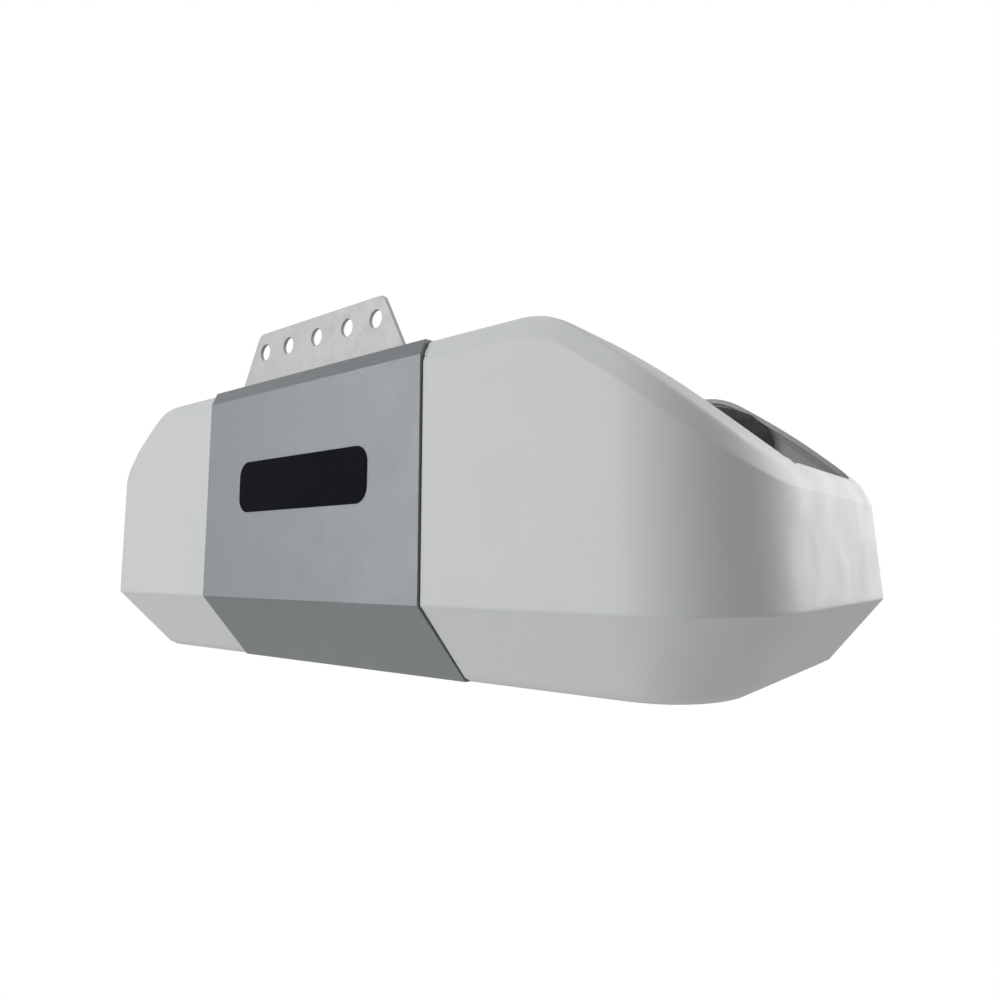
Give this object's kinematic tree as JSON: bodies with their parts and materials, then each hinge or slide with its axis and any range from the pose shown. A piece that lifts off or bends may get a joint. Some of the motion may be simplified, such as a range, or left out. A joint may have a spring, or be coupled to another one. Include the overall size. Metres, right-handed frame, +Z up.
{
  "type": "garage door opener",
  "caption": "Ceiling-hung garage door opener with a grey centre cover, two swing-down light covers, hanger brackets, a rail channel and a geared chain sprocket.",
  "frame": {"origin": "centre of the middle hole in the front hanger bracket, which hangs the unit from the ceiling", "axes": "+Z up, -Y out of the front face that looks away from the door, +X to the right as seen from the front"},
  "size_m": [0.461, 0.2126, 0.1796],
  "materials": {
    "cover_grey": "satin metallic grey with a fine grain",
    "lens_plastic": "satin pale grey moulded plastic",
    "chassis_steel": "zinc plated sheet",
    "panel_black": "satin black",
    "hanger_steel": "warm zinc plated sheet",
    "fastener_steel": "zinc plated",
    "spring_steel": "plain spring steel",
    "shaft_steel": "ground",
    "sprocket_steel": "oiled dark steel",
    "badge_black": "gloss black, plain",
    "guard_black": "textured black",
    "gear_nylon": "natural nylon",
    "bronze": "sintered bronze",
    "gearbox_alloy": "die cast",
    "isolator_rubber": "matt black",
    "motor_steel": "drawn steel",
    "carbon": "pressed carbon",
    "ferrite": "sintered ferrite",
    "lamination_iron": "varnished laminations",
    "copper_wire": "enamelled copper",
    "component_black": "moulded black",
    "board_green": "solder mask green",
    "heat_sink_alloy": "extruded",
    "bezel_grey": "textured dark grey",
    "status_light": "clear amber",
    "brass_screw": "bright brass",
    "key_black": "satin black",
    "key_yellow": "satin yellow",
    "reflector_white": "gloss white enamel",
    "socket_plastic": "ivory thermoset",
    "bulb_metal": "plated",
    "bulb_glass": "frosted white"
  },
  "bodies": {
    "chassis": {"board_components": "component_black", "board_heat_sink": "heat_sink_alloy", "board_posts": "fastener_steel", "bulb_bases": "bulb_metal", "bulb_globes": "bulb_glass", "centre_cover": "cover_grey", "chassis_tray": "chassis_steel", "cord_gland": "guard_black", "deck_bolts": "fastener_steel", "field_magnets": "ferrite", "front_hanger_bracket": "hanger_steel", "front_support_panel": "panel_black", "gearbox_base": "gearbox_alloy", "gearbox_cover": "gearbox_alloy", "hanger_bolts": "fastener_steel", "hinge_brackets": "spring_steel", "hinge_pins": "shaft_steel", "idler_pin": "shaft_steel", "isolators": "isolator_rubber", "key_board": "board_green", "keypad_bezel": "bezel_grey", "lamp_reflectors": "reflector_white", "lamp_sockets": "socket_plastic", "latch_clips": "spring_steel", "logic_board": "board_green", "machine_screws": "fastener_steel", "motor_bearings": "shaft_steel", "motor_brushes": "carbon", "motor_can": "motor_steel", "motor_end_cap": "component_black", "nameplate": "badge_black", "rail_bracket": "hanger_steel", "rear_hanger_bracket": "hanger_steel", "rear_support_panel": "panel_black", "shaft_bushes": "bronze", "speed_sensor": "component_black", "sprocket_guard": "guard_black", "status_lights": "status_light", "terminal_block": "bezel_grey", "terminal_screws": "brass_screw", "transformer_core": "lamination_iron", "transformer_winding": "copper_wire"},
    "right_lens": {"right_lens_cover": "lens_plastic"},
    "left_lens": {"left_lens_cover": "lens_plastic"},
    "armature": {"armature_core": "lamination_iron", "armature_windings": "copper_wire", "commutator": "copper_wire", "motor_shaft": "shaft_steel", "motor_pinion": "shaft_steel", "speed_disc": "component_black"},
    "idler": {"idler_gear": "gear_nylon"},
    "output": {"output_gear": "gear_nylon", "drive_shaft": "shaft_steel", "sprocket": "sprocket_steel", "shaft_clip": "spring_steel"},
    "travel_sensor": {"sensor_gear": "gear_nylon"},
    "travel_up_key": {"travel_up_button": "key_black"},
    "adjust_key": {"adjust_button": "key_yellow"},
    "travel_down_key": {"travel_down_button": "key_black"},
    "learn_key": {"learn_button": "key_yellow"}
  },
  "joints": [
    {"name": "right_lens_hinge", "type": "hinge", "parent": "chassis", "child": "right_lens", "pos_m": [0.094, 0.0968, -0.1661], "axis": [0, 1, 0], "range_deg": [0, 75]},
    {"name": "left_lens_hinge", "type": "hinge", "parent": "chassis", "child": "left_lens", "pos_m": [-0.094, 0.0968, -0.1661], "axis": [0, -1, 0], "range_deg": [0, 75]},
    {"name": "motor_spin", "type": "hinge", "parent": "chassis", "child": "armature", "pos_m": [0, 0.14255, -0.1046], "axis": [0, 0, 1], "continuous": true},
    {"name": "idler_spin", "type": "hinge", "parent": "chassis", "child": "idler", "pos_m": [0, 0.11255, -0.0496], "axis": [0, 0, 1], "continuous": true},
    {"name": "output_spin", "type": "hinge", "parent": "chassis", "child": "output", "pos_m": [0, 0.0688, -0.0396], "axis": [0, 0, 1], "continuous": true},
    {"name": "travel_sensor_spin", "type": "hinge", "parent": "chassis", "child": "travel_sensor", "pos_m": [0.04114, 0.04505, -0.0446], "axis": [0, 0, 1], "continuous": true},
    {"name": "travel_up_press", "type": "slide", "parent": "chassis", "child": "travel_up_key", "axis": [0, -1, 0], "range_m": [0, 0.001], "stiffness_N_per_m": 300},
    {"name": "adjust_press", "type": "slide", "parent": "chassis", "child": "adjust_key", "axis": [0, -1, 0], "range_m": [0, 0.001], "stiffness_N_per_m": 300},
    {"name": "travel_down_press", "type": "slide", "parent": "chassis", "child": "travel_down_key", "axis": [0, -1, 0], "range_m": [0, 0.001], "stiffness_N_per_m": 300},
    {"name": "learn_press", "type": "slide", "parent": "chassis", "child": "learn_key", "axis": [0, -1, 0], "range_m": [0, 0.001], "stiffness_N_per_m": 300}
  ],
  "couplings": [
    {"joint": "idler_spin", "follows": "motor_spin", "ratio": -0.25},
    {"joint": "output_spin", "follows": "motor_spin", "ratio": 0.0625},
    {"joint": "travel_sensor_spin", "follows": "motor_spin", "ratio": -0.175}
  ]
}
